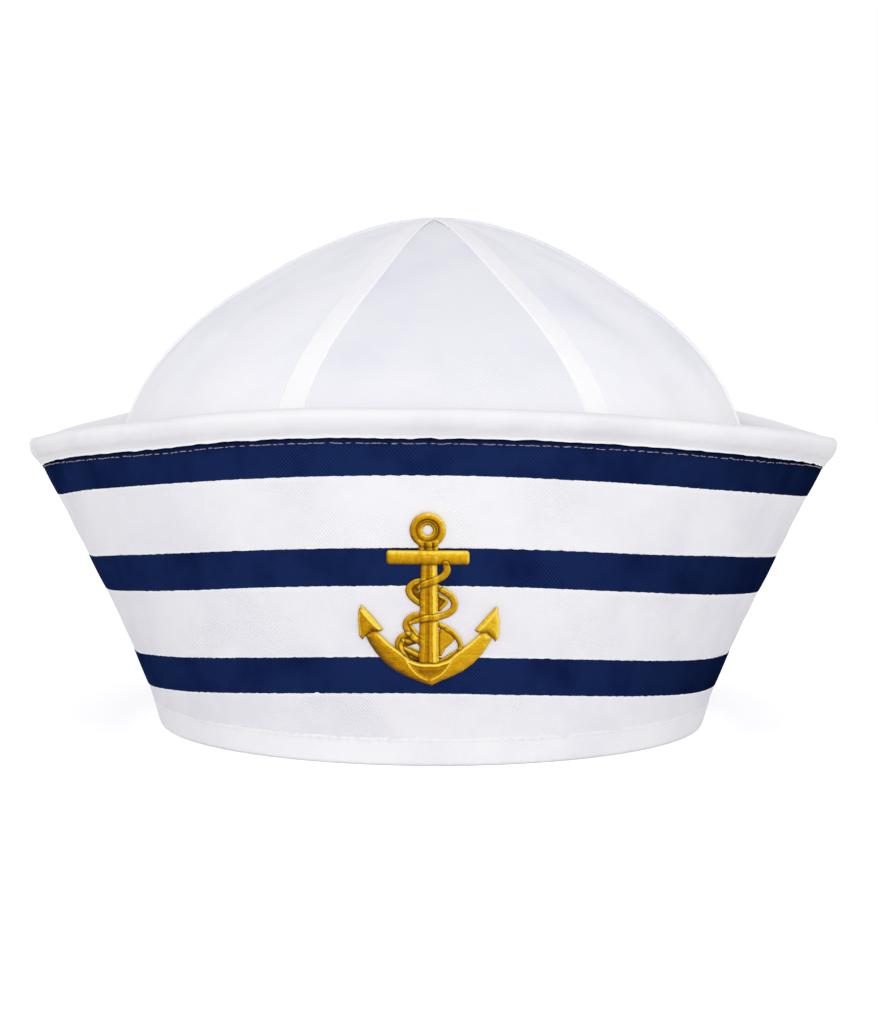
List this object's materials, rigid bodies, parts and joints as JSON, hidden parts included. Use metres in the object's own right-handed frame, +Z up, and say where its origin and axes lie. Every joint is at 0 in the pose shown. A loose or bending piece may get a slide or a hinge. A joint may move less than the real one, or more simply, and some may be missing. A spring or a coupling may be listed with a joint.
{
  "type": "sailor cap",
  "caption": "Sailor cap with a domed panel crown, a flared turned-up brim with navy stripes, a padded rim roll and a raised gold fouled anchor in front.",
  "frame": {"origin": "middle of the cap's footprint, on the surface that its hem rests on", "axes": "+Z up through the crown, the badge faces -Y, +X towards the wearer's left"},
  "size_m": [0.2528, 0.2807, 0.1586],
  "materials": {
    "white_twill": "matt bleached cotton twill",
    "white_tape": "smooth bleached cotton bias tape, stitched along both edges",
    "navy_ribbon": "matt navy twill ribbon",
    "gold_thread": "satin-stitched gold embroidery thread"
  },
  "bodies": {
    "root": {"crown_gore_1": "white_twill", "crown_gore_2": "white_twill", "crown_gore_3": "white_twill", "crown_gore_4": "white_twill", "crown_gore_5": "white_twill", "crown_gore_6": "white_twill", "crown_tape_1": "white_tape", "crown_tape_2": "white_tape", "crown_tape_3": "white_tape", "crown_tape_4": "white_tape", "crown_tape_5": "white_tape", "brim_wall": "white_twill", "stripe_ribbon_1": "navy_ribbon", "stripe_ribbon_2": "navy_ribbon", "stripe_ribbon_3": "navy_ribbon", "rim_roll": "white_twill", "hem_band": "white_twill", "anchor_badge": "gold_thread"}
  },
  "joints": []
}
